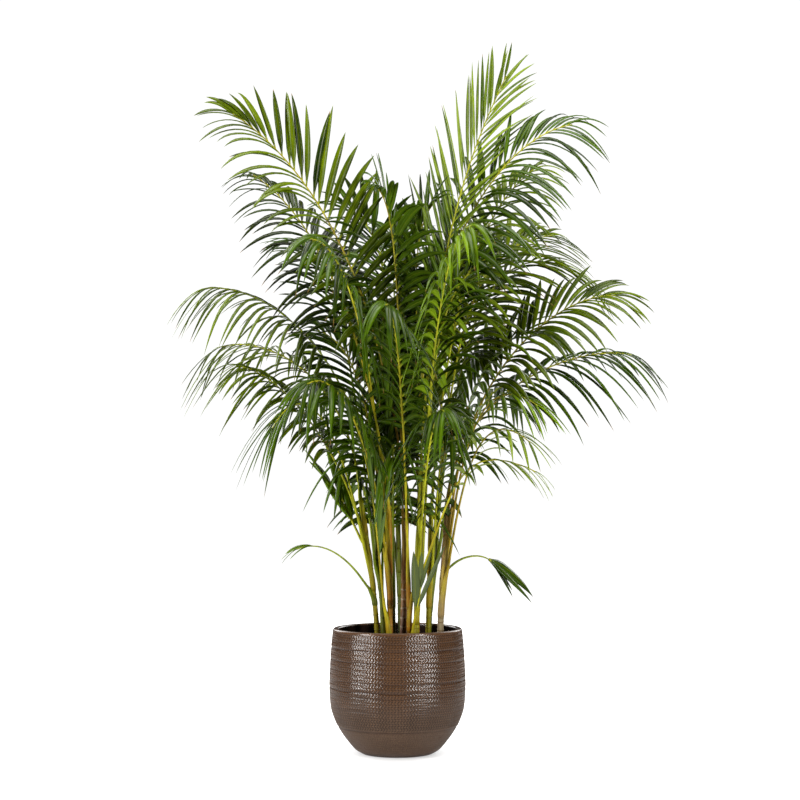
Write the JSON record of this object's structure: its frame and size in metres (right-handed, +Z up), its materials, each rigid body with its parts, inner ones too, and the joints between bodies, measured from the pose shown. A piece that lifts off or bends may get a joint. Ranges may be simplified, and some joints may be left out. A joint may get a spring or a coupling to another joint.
{
  "type": "potted areca palm",
  "caption": "Indoor areca palm: a clump of ringed canes with arching feather fronds, standing in soil in a round ribbed brown stoneware planter.",
  "frame": {"origin": "middle of the planter's flat underside", "axes": "+Z up along the planter's axis, -Y towards the front, +X to the right seen from the front"},
  "size_m": [1.2324, 0.9716, 1.7992],
  "materials": {
    "pot": "dark brown satin glaze over thrown ridges and stamped dashes",
    "soil": "dark loose potting soil with bark",
    "cane": "smooth yellow-green canes with pale ring scars",
    "frond": "deep green satin leaflets, paler beneath, on yellow-green ribs"
  },
  "bodies": {
    "root": {"pot": "pot", "soil": "soil", "cane_a": "cane", "cane_b": "cane", "cane_c": "cane", "cane_d": "cane", "cane_e": "cane", "cane_f": "cane", "cane_g": "cane", "cane_h": "cane", "cane_i": "cane", "cane_j": "cane", "cane_k": "cane", "cane_l": "cane", "frond_upper_left": "frond", "frond_second_left": "frond", "frond_left_arch": "frond", "frond_left_mid": "frond", "frond_left_low": "frond", "frond_left_hook": "frond", "frond_upper_right": "frond", "frond_top_right": "frond", "frond_right_drape": "frond", "frond_right_fan": "frond", "frond_right_edge": "frond", "frond_right_far": "frond", "frond_right_shade": "frond", "frond_right_low": "frond", "frond_right_lower": "frond", "frond_right_lowest": "frond", "frond_front_left": "frond", "frond_front_mid": "frond", "frond_front_right": "frond", "frond_front_high": "frond", "frond_front_low_left": "frond", "frond_front_low_right": "frond", "frond_mid_left": "frond", "frond_mid_right": "frond", "frond_back_left": "frond", "frond_back_mid": "frond", "frond_back_right": "frond", "frond_back_low_left": "frond", "frond_back_low_mid": "frond", "frond_back_low_right": "frond", "frond_left_young": "frond", "frond_left_small": "frond", "frond_right_small": "frond", "frond_low_blade": "frond", "frond_inner_left": "frond", "frond_inner_right": "frond", "frond_inner_mid": "frond", "frond_low_left": "frond", "frond_low_mid": "frond", "frond_low_right": "frond", "frond_low_back": "frond", "frond_inner_low_left": "frond", "frond_right_mid": "frond", "frond_right_inner": "frond", "frond_low_upright": "frond"}
  },
  "joints": []
}
